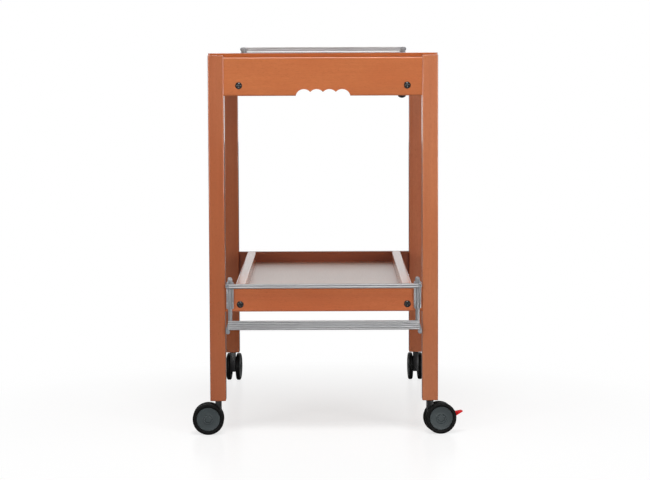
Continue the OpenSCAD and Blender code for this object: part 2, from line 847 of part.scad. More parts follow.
// The brake lever: an arm in the body's slot, a pedal outside it, a crossbar that reaches into
// both hubs, and the pins that it tips on
module lever_arm_outline()
    polygon([
        crossbar + [-2, -2],
        crossbar + [-2, 2.2],
        lever_pivot + [-6, 4.2],
        [pedal_in + 2, lever_pivot[1] - 2.2],
        [pedal_in + 2, lever_pivot[1] - 7.5],
        lever_pivot + [2, -3.2],
        lever_pivot + [-6, -1.4]
    ]);

module pedal_outline()
    polygon([
        [pedal_in, lever_pivot[1] - 2],
        [lever_reach - 1.4, lever_pivot[1] + 1],
        [lever_reach, lever_pivot[1]],
        [lever_reach - 0.3, lever_pivot[1] - 2],
        [pedal_in + 5.5, lever_pivot[1] - 10.6],
        [pedal_in, lever_pivot[1] - 8.8]
    ]);

module brake_lever(c)
    at_caster(c) {
        rotate([90, 0, 0]) {
            linear_extrude(arm_w, center = true) lever_arm_outline();
            linear_extrude(pedal_w, center = true) pedal_outline();
        }
        translate([crossbar[0], 0, crossbar[1]]) round_y(crossbar_d, crossbar_l);
        translate([lever_pivot[0], 0, lever_pivot[1]]) round_y(lever_pin_d, body_t - 0.4);
    }

// Named parts
module front_left_leg() color(beech) at_frame() leg(-1, -1);
module front_right_leg() color(beech) at_frame() leg(1, -1);
module rear_left_leg() color(beech) at_frame() leg(-1, 1);
module rear_right_leg() color(beech) at_frame() leg(1, 1);
module top_board() color(board_beech) at_frame() board();
module front_apron() color(beech) at_frame() apron(-1);
module rear_apron() color(beech) at_frame() apron(1);
module left_top_rail() color(beech) at_frame() top_rail(-1);
module right_top_rail() color(beech) at_frame() top_rail(1);
module front_tray_rail() color(beech) at_frame() tray_end_rail(-1);
module rear_tray_rail() color(beech) at_frame() tray_end_rail(1);
module left_tray_rail() color(beech) at_frame() tray_side_rail(-1);
module right_tray_rail() color(beech) at_frame() tray_side_rail(1);
module tray_panel() color(board_beech) at_frame() panel();
module frame_bolts() color(black) at_frame() all_bolts();
module barrel_nuts() color(steel) at_frame() all_nuts();
module dowels() color(dowel_beech) at_frame() all_dowels();
module top_screws() color(steel) at_frame() all_top_screws();
module rail_knob() color(black) at_frame() knob();
module lower_guides() color(metal) at_frame() guides(0);
module upper_guides() color(metal) at_frame() guides(1);
module guide_screws() color(steel) at_frame() all_guide_screws();
module lower_gallery_rod() color(metal) at_frame() gallery_rod(0);
module lower_gallery_bars() color(metal) at_frame() gallery_bars(0);
module lower_gallery_foot() color(metal) at_frame() gallery_foot(0);
module lower_gallery_plugs() color(grey_plastic) at_frame() gallery_plugs(0);
module upper_gallery_rod() color(metal) at_frame() gallery_rod(1);
module upper_gallery_bars() color(metal) at_frame() gallery_bars(1);
module upper_gallery_foot() color(metal) at_frame() gallery_foot(1);
module upper_gallery_plugs() color(grey_plastic) at_frame() gallery_plugs(1);
module caster_stems() color(steel) at_frame() all_stems();
module stem_sleeves() color(grey_plastic) at_frame() all_sleeves();
module front_left_caster_body() color(black) at_frame() caster_body(0);
module front_left_axle() color(steel) at_frame() axle(0);
module front_left_tyre_a() color(tyre_black) at_frame() tyre(0, -1);
module front_left_hub_a() color(hub_grey) at_frame() hub(0, -1);
module front_left_tyre_b() color(tyre_black) at_frame() tyre(0, 1);
module front_left_hub_b() color(hub_grey) at_frame() hub(0, 1);
module front_right_caster_body() color(black) at_frame() caster_body(1);
module front_right_axle() color(steel) at_frame() axle(1);
module front_right_tyre_a() color(tyre_black) at_frame() tyre(1, -1);
module front_right_hub_a() color(hub_grey) at_frame() hub(1, -1);
module front_right_tyre_b() color(tyre_black) at_frame() tyre(1, 1);
module front_right_hub_b() color(hub_grey) at_frame() hub(1, 1);
module rear_left_caster_body() color(black) at_frame() caster_body(2);
module rear_left_axle() color(steel) at_frame() axle(2);
module rear_left_tyre_a() color(tyre_black) at_frame() tyre(2, -1);
module rear_left_hub_a() color(hub_grey) at_frame() hub(2, -1);
module rear_left_tyre_b() color(tyre_black) at_frame() tyre(2, 1);
module rear_left_hub_b() color(hub_grey) at_frame() hub(2, 1);
module rear_right_caster_body() color(black) at_frame() caster_body(3);
module rear_right_axle() color(steel) at_frame() axle(3);
module rear_right_tyre_a() color(tyre_black) at_frame() tyre(3, -1);
module rear_right_hub_a() color(hub_grey) at_frame() hub(3, -1);
module rear_right_tyre_b() color(tyre_black) at_frame() tyre(3, 1);
module rear_right_hub_b() color(hub_grey) at_frame() hub(3, 1);
module front_right_brake_lever() color(lever_red) at_frame() brake_lever(1);
module rear_left_brake_lever() color(lever_red) at_frame() brake_lever(2);

front_left_leg();
front_right_leg();
rear_left_leg();
rear_right_leg();
top_board();
front_apron();
rear_apron();
left_top_rail();
right_top_rail();
front_tray_rail();
rear_tray_rail();
left_tray_rail();
right_tray_rail();
tray_panel();
frame_bolts();
barrel_nuts();
dowels();
top_screws();
rail_knob();
lower_guides();
upper_guides();
guide_screws();
lower_gallery_rod();
lower_gallery_bars();
lower_gallery_foot();
lower_gallery_plugs();
upper_gallery_rod();
upper_gallery_bars();
upper_gallery_foot();
upper_gallery_plugs();
caster_stems();
stem_sleeves();
front_left_caster_body();
front_left_axle();
front_left_tyre_a();
front_left_hub_a();
front_left_tyre_b();
front_left_hub_b();
front_right_caster_body();
front_right_axle();
front_right_tyre_a();
front_right_hub_a();
front_right_tyre_b();
front_right_hub_b();
rear_left_caster_body();
rear_left_axle();
rear_left_tyre_a();
rear_left_hub_a();
rear_left_tyre_b();
rear_left_hub_b();
rear_right_caster_body();
rear_right_axle();
rear_right_tyre_a();
rear_right_hub_a();
rear_right_tyre_b();
rear_right_hub_b();
front_right_brake_lever();
rear_left_brake_lever();
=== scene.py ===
# %% [markdown]
# # A kitchen trolley, dressed in Blender
#
# The trolley's solids come from a CAD source and are already in place. This script gives them
# the looks of the real thing: stained and varnished beech, satin metal, black rubber and a
# pale studio. Everything is in metres, +Z is up and the trolley's front faces -Y.
#
# The first cell loads the solids. Each one is an object at the origin whose place is in its
# mesh.

# %% Load the frame
import json
import math

import bmesh
import bpy
import numpy as np
from mathutils import Matrix, Vector


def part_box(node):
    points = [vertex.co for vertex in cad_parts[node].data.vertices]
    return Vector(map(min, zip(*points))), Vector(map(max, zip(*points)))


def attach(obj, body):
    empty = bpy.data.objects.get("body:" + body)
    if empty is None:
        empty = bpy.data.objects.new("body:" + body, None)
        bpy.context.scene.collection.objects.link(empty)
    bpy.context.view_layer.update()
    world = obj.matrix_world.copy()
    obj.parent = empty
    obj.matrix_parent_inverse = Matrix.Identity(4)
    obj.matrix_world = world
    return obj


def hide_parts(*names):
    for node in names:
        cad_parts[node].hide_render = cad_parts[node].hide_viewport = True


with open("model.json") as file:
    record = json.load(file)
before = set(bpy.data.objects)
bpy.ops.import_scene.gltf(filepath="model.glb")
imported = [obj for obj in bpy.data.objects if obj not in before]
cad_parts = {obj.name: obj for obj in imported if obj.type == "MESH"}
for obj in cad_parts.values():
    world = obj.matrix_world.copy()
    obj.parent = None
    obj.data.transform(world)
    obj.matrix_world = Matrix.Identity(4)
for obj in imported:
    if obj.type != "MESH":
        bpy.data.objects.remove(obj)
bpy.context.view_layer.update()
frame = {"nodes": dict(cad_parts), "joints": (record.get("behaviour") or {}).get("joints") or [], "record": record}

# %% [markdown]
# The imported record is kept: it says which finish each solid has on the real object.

finish_of = {part["node"]: part["material_slot"] for part in frame["record"]["subparts"]}
body_of = {}
for body, members in frame["record"]["behaviour"]["bodies"].items():
    for name in members:
        body_of[name] = body

left_leg_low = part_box("front_left_leg")[0]
right_leg_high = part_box("front_right_leg")[1]
front_y = left_leg_low.y
mid_x = (left_leg_low.x + right_leg_high.x) / 2


def linked(name, data):
    """An object at the origin, placed in the scene."""
    made = bpy.data.objects.new(name, data)
    bpy.context.scene.collection.objects.link(made)
    return made


print(len(frame["nodes"]), "solids, the front at y =", round(front_y, 4))

# %% [markdown]
# ## The camera
#
# A photograph is matched by giving the camera the place and lens that make the legs, rails and
# wheels fall on the same pixels. Here the trolley is seen from almost five metres away with a
# long lens, a little above the worktop. The lens is written in pixels of a 650 pixel wide
# picture, as camera matching gives it, and turned into millimetres of a 36 mm sensor. The
# camera's place is measured from the middle of the front legs' faces.

# %% Place the camera
PICTURE_W = 650
FOCAL_PX = 2244.3
SENSOR_MM = 36.0
CAMERA_RIGHT = 0.00544
CAMERA_BACK = 4.79869
CAMERA_HEIGHT = 0.84284

camera_data = bpy.data.cameras.new("camera")
camera_data.sensor_width = SENSOR_MM
camera_data.lens = FOCAL_PX / PICTURE_W * SENSOR_MM
camera_data.clip_end = 60
camera = linked("camera", camera_data)
bpy.context.scene.camera = camera

yaw, pitch, roll = -0.000487, 0.08731, -0.003874
forward = Vector((math.sin(yaw) * math.cos(pitch), math.cos(yaw) * math.cos(pitch), -math.sin(pitch)))
level = Vector((math.cos(yaw), -math.sin(yaw), 0))
above = level.cross(forward)
right = math.cos(roll) * level + math.sin(roll) * above
up = math.cos(roll) * above - math.sin(roll) * level
place = Matrix.Translation((mid_x + CAMERA_RIGHT, front_y - CAMERA_BACK, CAMERA_HEIGHT))
camera.matrix_world = place @ Matrix((right, up, -forward)).transposed().to_4x4()
print("lens", round(camera_data.lens, 1), "mm, height", round(camera.location.z, 3), "m")

# %% [markdown]
# ## Node helpers
#
# A material is a small graph of nodes. These helpers keep the graphs short: one adds a node,
# setting or linking its inputs, and one mixes two colours.

# %% Helpers for materials
def add(tree, kind, inputs=None, **settings):
    """Adds a node. Settings are its properties; an input is linked if it is a socket, else set."""
    made = tree.nodes.new(kind)
    for name, value in settings.items():
        setattr(made, name, value)
    for key, value in (inputs or {}).items():
        if isinstance(value, bpy.types.NodeSocket):
            tree.links.new(value, made.inputs[key])
        else:
            made.inputs[key].default_value = value
    return made


def mixed(tree, factor, a, b):
    """A colour between a and b, each a socket or three numbers."""
    ends = [end if isinstance(end, bpy.types.NodeSocket) else (*end, 1) for end in (a, b)]
    made = add(tree, "ShaderNodeMix", {0: factor, 6: ends[0], 7: ends[1]}, data_type="RGBA")
    return made.outputs[2]


def ramp(tree, value, low, high, to_low=0.0, to_high=1.0):
    """Takes low..high to to_low..to_high, and holds it there outside."""
    made = add(
        tree,
        "ShaderNodeMapRange",
        {"Value": value, "From Min": low, "From Max": high, "To Min": to_low, "To Max": to_high},
    )
    return made.outputs["Result"]


def noise(tree, place, scale, detail=2.0, rough=0.5, distortion=0.0):
    """Smooth noise, around 0.5."""
    made = add(
        tree,
        "ShaderNodeTexNoise",
        {"Vector": place, "Scale": scale, "Detail": detail, "Roughness": rough, "Distortion": distortion},
    )
    return made.outputs["Fac"]


def stretched(tree, stretch=(1, 1, 1)):
    """Object coordinates, squeezed by a factor for each axis."""
    place = add(tree, "ShaderNodeTexCoord").outputs["Object"]
    made = add(tree, "ShaderNodeMapping", {"Vector": place, "Scale": stretch})
    return made.outputs["Vector"]


def new_material(name):
    """A new material, with its tree of nodes and its main shader."""
    material = bpy.data.materials.new(name)
    material.use_nodes = True
    tree = material.node_tree
    shader = tree.nodes["Principled BSDF"]
    return material, tree, shader


def bump(tree, shader, height, strength, distance):
    """Raises the surface where height is large, by distance at the most."""
    made = add(
        tree, "ShaderNodeBump", {"Height": height, "Strength": strength, "Distance": distance}
    )
    tree.links.new(made.outputs["Normal"], shader.inputs["Normal"])


# %% [markdown]
# ## Stained beech
#
# Beech is pale and close-grained. Here it has a reddish-brown stain under a satin varnish, so
# its colour is nearly even: soft bands run along the grain, with thin fibres in them, and the
# short dark flecks that mark beech lie between the fibres. All are noise on Object coordinates
# that are squeezed along the grain, so each piece needs to know which way its grain runs.
#
# The varnish is a coat over the wood. Its roughness differs: the worktop is polished, the legs
# are nearly so, and the tray's panel is duller. At a low angle the coat mirrors the pale room,
# which is why the tray looks almost white from the front; the panel's pale colour is partly its
# tone and partly painted sheen on top of that. Natural boards differ in tone as well, so the left
# legs, each right leg, the aprons, the side rails, the tray's two end rails, the worktop and the
# panel each have a colour of their own. The right legs' lighter colours are partly their tone and
# partly painted light, for the stronger light from the right. The rear tray rail's much darker
# colour is painted shade, for the shade under the worktop and the tray. All colours are linear.

# %% Wood finishes
COAT_IOR = 1.6


def stained_beech(name, along, colour, coat=1.0, coat_rough=0.2, contrast=1.5, specular=0.15):
    """Varnished beech whose grain runs along one axis, 0 for X, 1 for Y and 2 for Z.

    A piece of noise at p is noise(scale * p), with p squeezed along the grain.
    """
    material, tree, shader = new_material(name)

    def grain(squeeze):
        stretch = [1.0, 1.0, 1.0]
        stretch[along] = squeeze
        return stretched(tree, stretch)

    bands = noise(tree, grain(0.04), scale=55, detail=3, rough=0.55, distortion=0.5)
    fibres = noise(tree, grain(0.02), scale=620, rough=0.6)
    mottle = noise(tree, grain(0.4), scale=230, rough=0.6)
    flecks = noise(tree, grain(0.11), scale=1500, detail=1)
    clouds = noise(tree, grain(0.5), scale=11)

    def tint(red, green, blue):
        return [c * (1 + contrast * part) for c, part in zip(colour, (red, green, blue))]

    deeper = tint(-0.10, -0.13, -0.15)
    banded = mixed(tree, ramp(tree, bands, 0.33, 0.68), tint(0.05, 0.06, 0.06), deeper)
    stain = mixed(tree, ramp(tree, clouds, 0.32, 0.68), tint(-0.04, -0.12, -0.16), tint(0.05, 0.13, 0.20))
    clouded = mixed(tree, 0.55, banded, stain)
    mottled = mixed(tree, ramp(tree, mottle, 0.3, 0.7, 0, 0.4), clouded, deeper)
    fibred = mixed(tree, ramp(tree, fibres, 0.45, 0.72, 0, 0.35), mottled, deeper)
    flecked = mixed(tree, ramp(tree, flecks, 0.63, 0.74, 0, 0.35), fibred, tint(-0.4, -0.45, -0.5))
    tree.links.new(flecked, shader.inputs["Base Color"])
    tree.links.new(ramp(tree, fibres, 0.3, 0.7, 0.40, 0.52), shader.inputs["Roughness"])
    shader.inputs["Specular IOR Level"].default_value = specular
    shader.inputs["Coat Weight"].default_value = coat
    shader.inputs["Coat Roughness"].default_value = coat_rough
    shader.inputs["Coat IOR"].default_value = COAT_IOR
    bump(tree, shader, fibres, 0.06, 0.0002)
    return material


APRON_COLOUR = (0.535, 0.147, 0.040)
RAIL_COLOUR = (0.53, 0.144, 0.036)
LEFT_LEG_COLOUR = (0.455, 0.125, 0.043)
# Partly the wood's tone and partly painted light: the right legs are lighter, for the stronger light from the
# right.
RIGHT_LEG_TONE_AND_LIGHT = (0.55, 0.180, 0.071)
# Partly the wood's tone and partly painted light: the rear right leg is lighter still, for the light from the
# right.
REAR_RIGHT_TONE_AND_LIGHT = (0.62, 0.185, 0.078)
BOARD_COLOUR = (0.430, 0.090, 0.013)
# Partly the wood's tone and partly painted sheen: the panel is pale, adding to the coat's mirror of the room.
PANEL_TONE_AND_SHEEN = (0.78, 0.48, 0.33)
TRAY_COLOUR = (0.60, 0.154, 0.048)
# Painted shade: the rear tray rail is much darker, for the shade under the worktop and the tray.
PAINTED_SHADE_COLOUR = (0.32, 0.070, 0.020)
LEG_ROUGH = 0.12
beech_along_x = stained_beech("stained_beech_along_x", 0, APRON_COLOUR)
beech_along_y = stained_beech("stained_beech_along_y", 1, RAIL_COLOUR)
beech_left_leg = stained_beech("stained_beech_left_leg", 2, LEFT_LEG_COLOUR, coat_rough=LEG_ROUGH)
beech_right_leg_tone_and_light = stained_beech("stained_beech_right_leg_tone_and_light", 2, RIGHT_LEG_TONE_AND_LIGHT, coat_rough=LEG_ROUGH)
beech_rear_right_leg_tone_and_light = stained_beech(
    "stained_beech_rear_right_leg_tone_and_light", 2, REAR_RIGHT_TONE_AND_LIGHT, coat_rough=LEG_ROUGH
)
beech_front_tray = stained_beech("stained_beech_front_tray", 0, TRAY_COLOUR)
# The rear tray rail's dark wood, which is painted shade.
beech_painted_shade = stained_beech("stained_beech_painted_shade", 0, PAINTED_SHADE_COLOUR)
beech_board = stained_beech("stained_beech_board", 1, BOARD_COLOUR, coat_rough=0.02, contrast=0.7)
beech_panel_tone_and_sheen = stained_beech(
    "stained_beech_panel_tone_and_sheen", 1, PANEL_TONE_AND_SHEEN, coat_rough=0.32, contrast=0.8, specular=1.0
)
print("wood finishes:", [m.name for m in bpy.data.materials if "beech" in m.name])

# %% [markdown]
# ## Metal, plastic and rubber
#
# The galleries are drawn aluminium with a satin surface. Drawing leaves fine lines along the
# bar, which a noise squeezed along the bar's length gives. Their ends are grey plastic. The
# bolts are blackened and glossy, so they mirror the lamps in small bright spots. The casters'
# bodies are black plastic with a slight moulded grain, and the tyres are rubber.

# %% Metal finishes
def drawn_metal(name, along, colour, rough):
    """Satin metal with fine lines along one axis."""
    material, tree, shader = new_material(name)
    squeeze = [1.0, 1.0, 1.0]
    squeeze[along] = 0.01
    lines = noise(tree, stretched(tree, squeeze), scale=1600, rough=0.6)
    smudges = noise(tree, stretched(tree), scale=30)
    shade = mixed(tree, ramp(tree, lines, 0.3, 0.7), [c * 0.96 for c in colour], colour)
    dulled = mixed(tree, ramp(tree, smudges, 0.3, 0.7, 0, 0.1), shade, [c * 0.85 for c in colour])
    tree.links.new(dulled, shader.inputs["Base Color"])
    tree.links.new(ramp(tree, lines, 0.3, 0.7, rough - 0.05, rough + 0.07), shader.inputs["Roughness"])
    shader.inputs["Metallic"].default_value = 1.0
    bump(tree, shader, lines, 0.03, 0.0001)
    return material


def speckled(name, colour, rough, grain=1500, depth=0.00015, metal=0.0, specular=0.5):
    """Plain moulded or painted stuff: a colour that varies a little, and a fine grain."""
    material, tree, shader = new_material(name)
    place = stretched(tree)
    fine = noise(tree, place, grain, rough=0.6)
    broad = noise(tree, place, scale=25)
    darker, lighter = [c * 0.88 for c in colour], [min(c * 1.1, 1) for c in colour]
    tone = mixed(tree, ramp(tree, broad, 0.3, 0.7), darker, lighter)
    tree.links.new(tone, shader.inputs["Base Color"])
    tree.links.new(ramp(tree, fine, 0.3, 0.7, rough - 0.05, rough + 0.06), shader.inputs["Roughness"])
    shader.inputs["Metallic"].default_value = metal
    shader.inputs["Specular IOR Level"].default_value = specular
    bump(tree, shader, fine, 0.2, depth)
    return material


aluminium = drawn_metal("satin_aluminium", 0, (0.52, 0.52, 0.53), 0.48)
# Painted light: the rear rod's aluminium is a lighter copy of the satin metal, for the light from above on it.
aluminium_rear_rod_painted_light = drawn_metal("satin_aluminium_rear_rod_painted_light", 0, (0.66, 0.66, 0.67), 0.40)
aluminium_upright = drawn_metal("satin_aluminium_upright", 2, (0.36, 0.36, 0.37), 0.45)
zinc_steel = speckled("zinc_plated_steel", (0.55, 0.56, 0.57), 0.3, metal=1.0)
black_steel = speckled(
    "blackened_steel", (0.003, 0.003, 0.003), 0.09, grain=300, depth=0.000002, specular=1.0
)
grey_plastic = speckled("grey_plastic", (0.27, 0.28, 0.30), 0.4)
black_plastic = speckled("black_plastic", (0.010, 0.010, 0.011), 0.34)
hub_plastic = speckled("hub_plastic", (0.046, 0.060, 0.064), 0.5)
rubber = speckled("tyre_rubber", (0.005, 0.005, 0.005), 0.5, grain=2500, depth=0.0002, specular=0.15)
red_plastic = speckled("red_plastic", (0.84, 0.022, 0.027), 0.45, specular=0.1)
bare_beech = stained_beech("bare_beech", 0, (0.62, 0.42, 0.22), coat=0.0)
print(len(bpy.data.materials), "finishes")

# %% [markdown]
# ## Which finish goes where
#
# A solid's finish is chosen from the slot that the record gives it. Wood also needs its grain's
# direction, which is the longest side of its box, and so do the galleries' bars. A few pieces
# come first, because they have a colour of their own: the right legs, whose lighter colours are
# partly painted light, the tray's panel, whose pale colour is partly painted sheen, the tray's end
# rails, the rear one darkened by painted shade, and the rod across the rear of the worktop, whose
# lighter metal is painted light.

# %% Give every solid its finish
finishes = {
    "board_wood": beech_board,
    "dowel_wood": bare_beech,
    "black_steel": black_steel,
    "zinc_steel": zinc_steel,
    "grey_plastic": grey_plastic,
    "sleeve_plastic": grey_plastic,
    "black_plastic": black_plastic,
    "tyre": rubber,
    "hub_plastic": hub_plastic,
    "red_plastic": red_plastic,
}
beech_along = (beech_along_x, beech_along_y, beech_left_leg)


def finish_for(name):
    """The material for a solid, by its slot and, for wood and metal, its longest side."""
    low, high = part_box(name)
    longest = max(range(3), key=lambda axis: high[axis] - low[axis])
    slot = finish_of[name]
    # The right legs' lighter colours are partly painted light.
    if "right_leg" in name:
        return beech_rear_right_leg_tone_and_light if "rear" in name else beech_right_leg_tone_and_light
    # The panel's pale colour is partly painted sheen.
    if name == "tray_panel":
        return beech_panel_tone_and_sheen
    # The rear tray rail gets the dark wood of painted shade.
    if name == "rear_tray_rail":
        return beech_painted_shade
    if name == "front_tray_rail":
        return beech_front_tray
    if slot == "frame_wood":
        return beech_along[longest]
    # The rear rod gets the lighter metal of painted light.
    if name == "upper_gallery_rod":
        return aluminium_rear_rod_painted_light
    if slot == "light_metal":
        upright = "bars" in name or "guides" in name
        return aluminium_upright if upright else aluminium
    return finishes[slot]


for name, solid in frame["nodes"].items():
    solid.data.materials.clear()
    solid.data.materials.append(finish_for(name))
print("finished", len(frame["nodes"]), "solids")

# %% [markdown]
# ## Turned pieces
#
# A wheel is a shape of revolution: a profile, given as radius against place along the axle, is
# carried round the axle. As a surface it has two parameters, the step along the profile and the
# turn. The joint that spins a wheel says where its axle is and which way it points, so a turned
# piece lands exactly where its solid is. The rings that shrink to a point on the axle are
# merged, and the faces are made to point outwards.

# %% Helpers for turned pieces
spin_of = {joint["child"]: joint for joint in frame["joints"]}


def arc(centre, radius, start, stop, steps):
    """Points on a circle in the profile's plane, from one angle to another in degrees."""
    turn = np.radians(np.linspace(start, stop, steps))
    return np.stack([centre[0] + radius * np.cos(turn), centre[1] + radius * np.sin(turn)], -1)


def mesh_object(name, points, faces):
    """An object at the origin from points and faces, closed, smooth and facing outwards."""
    mesh = bpy.data.meshes.new(name)
    mesh.from_pydata(points.reshape(-1, 3).tolist(), [], faces.tolist())
    shape = bmesh.new()
    shape.from_mesh(mesh)
    bmesh.ops.remove_doubles(shape, verts=shape.verts, dist=2e-6)
    bmesh.ops.recalc_face_normals(shape, faces=shape.faces)
    for face in shape.faces:
        face.smooth = True
    shape.to_mesh(mesh)
    shape.free()
    return linked(name, mesh)


def wrapped_quads(rows, turns):
    """The faces of a grid of rows by turns that closes on itself round the turn."""
    row, turn = np.meshgrid(np.arange(rows - 1), np.arange(turns), indexing="ij")
    after = (turn + 1) % turns
    this_row, next_row = row * turns, (row + 1) * turns
    quads = [this_row + turn, this_row + after, next_row + after, next_row + turn]
    return np.stack(quads, -1).reshape(-1, 4)


def turned(name, profile, centre, axle, turns=96):
    """Carries a profile of (radius, along) round an axle: centre + radius * (cos, sin) + along."""
    axle = np.array(axle, float)
    across = np.cross(axle, (0, 0, 1.0) if abs(axle[2]) < 0.9 else (0, 1.0, 0))
    across /= np.linalg.norm(across)
    upward = np.cross(across, axle)
    angle = np.linspace(0, 2 * np.pi, turns, endpoint=False)
    spoke = np.cos(angle)[:, None] * across + np.sin(angle)[:, None] * upward
    radius, along = profile[:, None, :1], profile[:, None, 1:]
    points = np.array(centre) + radius * spoke[None] + along * axle
    return mesh_object(name, points, wrapped_quads(len(profile), turns))


print("spinning bodies:", sum("wheel" in body for body in spin_of))

# %% [markdown]
# ## Tyres and hubs
#
# Each caster has two narrow wheels. A tyre has a flat tread with round shoulders, a fine mould
# line round its middle and a shallow groove where it meets the hub. The hub's face is a disc
# that dips a little, with a raised ring and a flat boss in its middle. Both profiles start from
# the solids' own sizes: a tyre's box is exactly one wheel high.

# %% Wheel profiles
def half_height(name):
    """Half the height of a solid's box, which is the radius of a wheel."""
    low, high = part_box(name)
    return (high.z - low.z) / 2


wheel_r = half_height("front_left_tyre_a")
hub_r = half_height("front_left_hub_a")
WHEEL_IN = 0.007
WHEEL_OUT = 0.017
SHOULDER_R = 0.0032


def tyre_profile():
    """The tyre's closed outline, from the hub's seat over the shoulders and back."""
    inner = SHOULDER_R + WHEEL_IN
    outer = WHEEL_OUT - SHOULDER_R
    rim = wheel_r - SHOULDER_R
    middle = (WHEEL_IN + WHEEL_OUT) / 2
    seam = [(wheel_r, middle - 0.0004), (wheel_r - 0.0002, middle), (wheel_r, middle + 0.0004)]
    return np.concatenate([
        [(hub_r - 0.0001, WHEEL_IN + 0.0006), (hub_r + 0.0006, WHEEL_IN)],
        arc((rim, inner), SHOULDER_R, -90, 0, 9),
        seam,
        arc((rim, outer), SHOULDER_R, 0, 90, 9),
        [(hub_r + 0.0012, WHEEL_OUT), (hub_r + 0.0005, WHEEL_OUT - 0.0003),
         (hub_r, WHEEL_OUT - 0.001), (hub_r - 0.0001, WHEEL_OUT - 0.0016),
         (hub_r - 0.0001, WHEEL_IN + 0.0006)],
    ])


def hub_profile():
    """The hub's outline, from the middle of its face out to its edge and back inside."""
    boss_r = 0.0066
    face = WHEEL_OUT - 0.0004
    return np.concatenate([
        [(0, WHEEL_OUT - 0.0002), (boss_r - 0.0012, WHEEL_OUT - 0.00015)],
        arc((boss_r - 0.0006, WHEEL_OUT - 0.0007), 0.0006, 80, 0, 5),
        [(boss_r + 0.0001, face - 0.0010), (boss_r + 0.0018, face - 0.0011)],
        arc((boss_r + 0.0034, face - 0.0013), 0.0008, 160, 20, 7),
        [(boss_r + 0.0060, face - 0.0011), (hub_r - 0.0042, face - 0.0006)],
        arc((hub_r - 0.0014, face - 0.0008), 0.0008, 110, 0, 6),
        [(hub_r - 0.0004, face - 0.0012), (hub_r - 0.0003, face - 0.0026),
         (hub_r - 0.0003, WHEEL_IN + 0.0008), (hub_r - 0.0010, WHEEL_IN + 0.0003),
         (hub_r - 0.0032, WHEEL_IN + 0.0003), (hub_r - 0.0034, face - 0.0026),
         (boss_r, face - 0.0026), (boss_r, WHEEL_IN), (0.0031, WHEEL_IN),
         (0.0031, face - 0.0026), (0, face - 0.0026)],
    ])


print("tyre outline:", len(tyre_profile()), "points, hub outline:", len(hub_profile()))

# %% Make the wheels
wheels = []
for corner in ("front_left", "front_right", "rear_left", "rear_right"):
    for side, sign in (("a", -1), ("b", 1)):
        body = corner + "_wheel_" + side
        axle = sign * np.array(spin_of[body]["axis"])
        centre = spin_of[body]["pos_m"]
        for part, profile, finish in (
            ("tyre", tyre_profile(), rubber), ("hub", hub_profile(), hub_plastic)
        ):
            solid = corner + "_" + part + "_" + side
            piece = turned(solid + "_turned", profile, centre, axle)
            piece.data.materials.append(finish)
            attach(piece, body)
            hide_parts(solid)
        wheels.append(body)
print("made", len(wheels), "wheels, each with a tyre and a hub")

# %% [markdown]
# ## Softened metal and plastic
#
# Drawn metal and moulded plastic have no knife edges: each edge is rounded by a fraction of a
# millimetre and catches a thin line of light, which is most of what tells a profile's shape. The
# solids of these parts have the right shape but sharp edges. So each gets a copy whose loose
# triangles are merged, whose flat faces are joined again, and whose edges a Bevel modifier
# rounds, each by its width in the table. The copy hides the solid and rides on the same body.

# %% Round the edges of metal and plastic
def softened(name, width):
    """A merged copy of a solid with its sharp edges rounded to a width in metres."""
    shape = bmesh.new()
    shape.from_mesh(frame["nodes"][name].data)
    bmesh.ops.remove_doubles(shape, verts=shape.verts, dist=1e-6)
    flat = math.radians(1)
    bmesh.ops.dissolve_limit(shape, angle_limit=flat, verts=shape.verts, edges=shape.edges)
    for face in shape.faces:
        face.smooth = True
    mesh = bpy.data.meshes.new(name + "_soft")
    shape.to_mesh(mesh)
    shape.free()
    piece = linked(name + "_soft", mesh)
    mesh.materials.append(finish_for(name))
    rounding = piece.modifiers.new("rounding", "BEVEL")
    rounding.width = width
    rounding.segments = 2
    rounding.limit_method = "ANGLE"
    rounding.angle_limit = math.radians(35)
    # The guides' slots and lips are narrow, so their roundings must not run into each other.
    rounding.use_clamp_overlap = "guides" in name
    rounding.harden_normals = True
    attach(piece, body_of[name])
    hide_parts(name)
    return piece


ROUNDINGS = {
    "lower_guides": 0.0003, "upper_guides": 0.0003,
    "lower_gallery_bars": 0.0004, "upper_gallery_bars": 0.0004,
    "lower_gallery_plugs": 0.0008, "upper_gallery_plugs": 0.0008,
    "lower_gallery_foot": 0.0004, "upper_gallery_foot": 0.0004,
    "front_right_brake_lever": 0.0007, "rear_left_brake_lever": 0.0007,
    "front_left_caster_body": 0.0007, "front_right_caster_body": 0.0007,
    "rear_left_caster_body": 0.0007, "rear_right_caster_body": 0.0007,
}
for name, width in ROUNDINGS.items():
    softened(name, width)
print("rounded the edges of", len(ROUNDINGS), "solids")

# %% [markdown]
# ## Bolts and knob
#
# The frame is held by bolts with low domed heads and a hex socket, all blackened and glossy. A
# head is a surface of two parameters, the ring and the turn. The outer rings are circles; the
# rings of the socket are hexagons, whose radius grows from the flats to the corners as
# 1 / cos(turn from the middle of a flat). A shallow cone leads into the socket, and its lower
# side mirrors the lamp overhead. The knob below the right rail is a turned piece: a neck and a
# rounded bowl.

# %% Make the bolts
BOLT_HEAD_R = 0.0075
BOLT_HEAD_H = 0.0036
SOCKET_FLAT_R = 0.0020
SOCKET_FLOOR = 0.0012
SOCKET_LIP_R = 0.0040
SHANK_R = 0.003
SHANK_END = -0.06
TIP_R = 0.0023
TIP_START = -0.0592
APRON_BOLT_UP = 0.0222
TRAY_BOLT_UP = 0.016
dome_r = (BOLT_HEAD_R ** 2 + BOLT_HEAD_H ** 2) / (2 * BOLT_HEAD_H)


def dome(radius):
    """How far the head stands out at a radius from its middle."""
    return math.sqrt(dome_r ** 2 - radius ** 2) - dome_r + BOLT_HEAD_H


